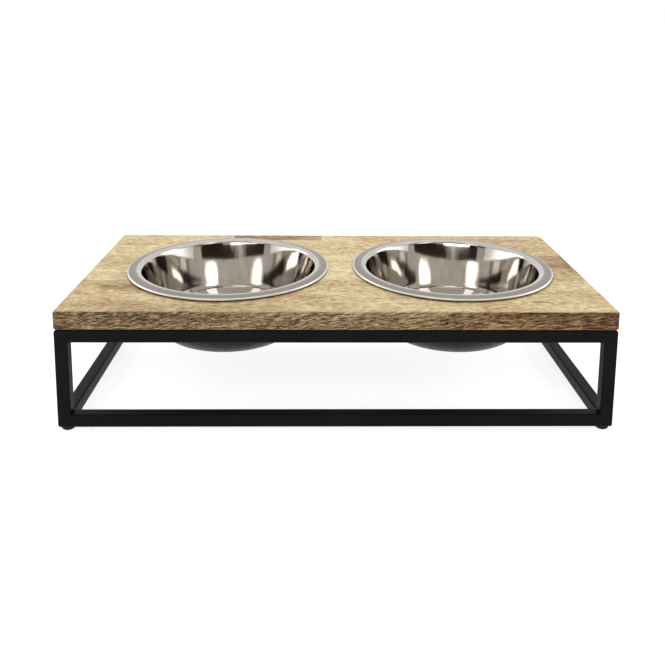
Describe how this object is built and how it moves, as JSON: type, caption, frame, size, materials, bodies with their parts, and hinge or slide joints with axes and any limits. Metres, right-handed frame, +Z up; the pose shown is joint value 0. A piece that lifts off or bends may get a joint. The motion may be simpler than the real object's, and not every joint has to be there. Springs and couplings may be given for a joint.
{
  "type": "double pet bowl stand",
  "caption": "Low stand with a wooden panel on a black square-tube frame, holding a pair of drop-in steel bowls for pet food and water.",
  "frame": {"origin": "on the floor below the middle of the panel", "axes": "+X along the stand to the viewer's right, +Y from front to rear, +Z up"},
  "size_m": [0.3982, 0.2, 0.0933],
  "materials": {
    "wood_front_stave": "clear satin lacquer on light brown hardwood",
    "wood_middle_stave": "clear satin lacquer on golden hardwood",
    "wood_rear_stave": "clear satin lacquer on golden hardwood",
    "black_powder_coat": "matt black powder coat",
    "black_rubber": "smooth black rubber",
    "zinc_screw": "zinc plated",
    "stainless_steel": "polished inside, satin rim"
  },
  "bodies": {
    "stand": {"top_stave_front": "wood_front_stave", "top_stave_rear": "wood_rear_stave", "top_stave_middle_left": "wood_middle_stave", "top_stave_middle_center": "wood_middle_stave", "top_stave_middle_right": "wood_middle_stave", "front_top_rail": "black_powder_coat", "front_bottom_rail": "black_powder_coat", "front_left_leg": "black_powder_coat", "front_right_leg": "black_powder_coat", "rear_top_rail": "black_powder_coat", "rear_bottom_rail": "black_powder_coat", "rear_left_leg": "black_powder_coat", "rear_right_leg": "black_powder_coat", "left_top_rail": "black_powder_coat", "left_bottom_rail": "black_powder_coat", "right_top_rail": "black_powder_coat", "right_bottom_rail": "black_powder_coat", "frame_welds": "black_powder_coat", "foot_front_left": "black_rubber", "foot_front_right": "black_rubber", "foot_rear_left": "black_rubber", "foot_rear_right": "black_rubber", "top_screws": "zinc_screw"},
    "left_bowl": {"bowl_left": "stainless_steel"},
    "right_bowl": {"bowl_right": "stainless_steel"}
  },
  "joints": [
    {"name": "left_bowl_lift", "type": "slide", "parent": "stand", "child": "left_bowl", "axis": [0, 0, 1], "range_m": [0, 0.08]},
    {"name": "right_bowl_lift", "type": "slide", "parent": "stand", "child": "right_bowl", "axis": [0, 0, 1], "range_m": [0, 0.08]}
  ]
}
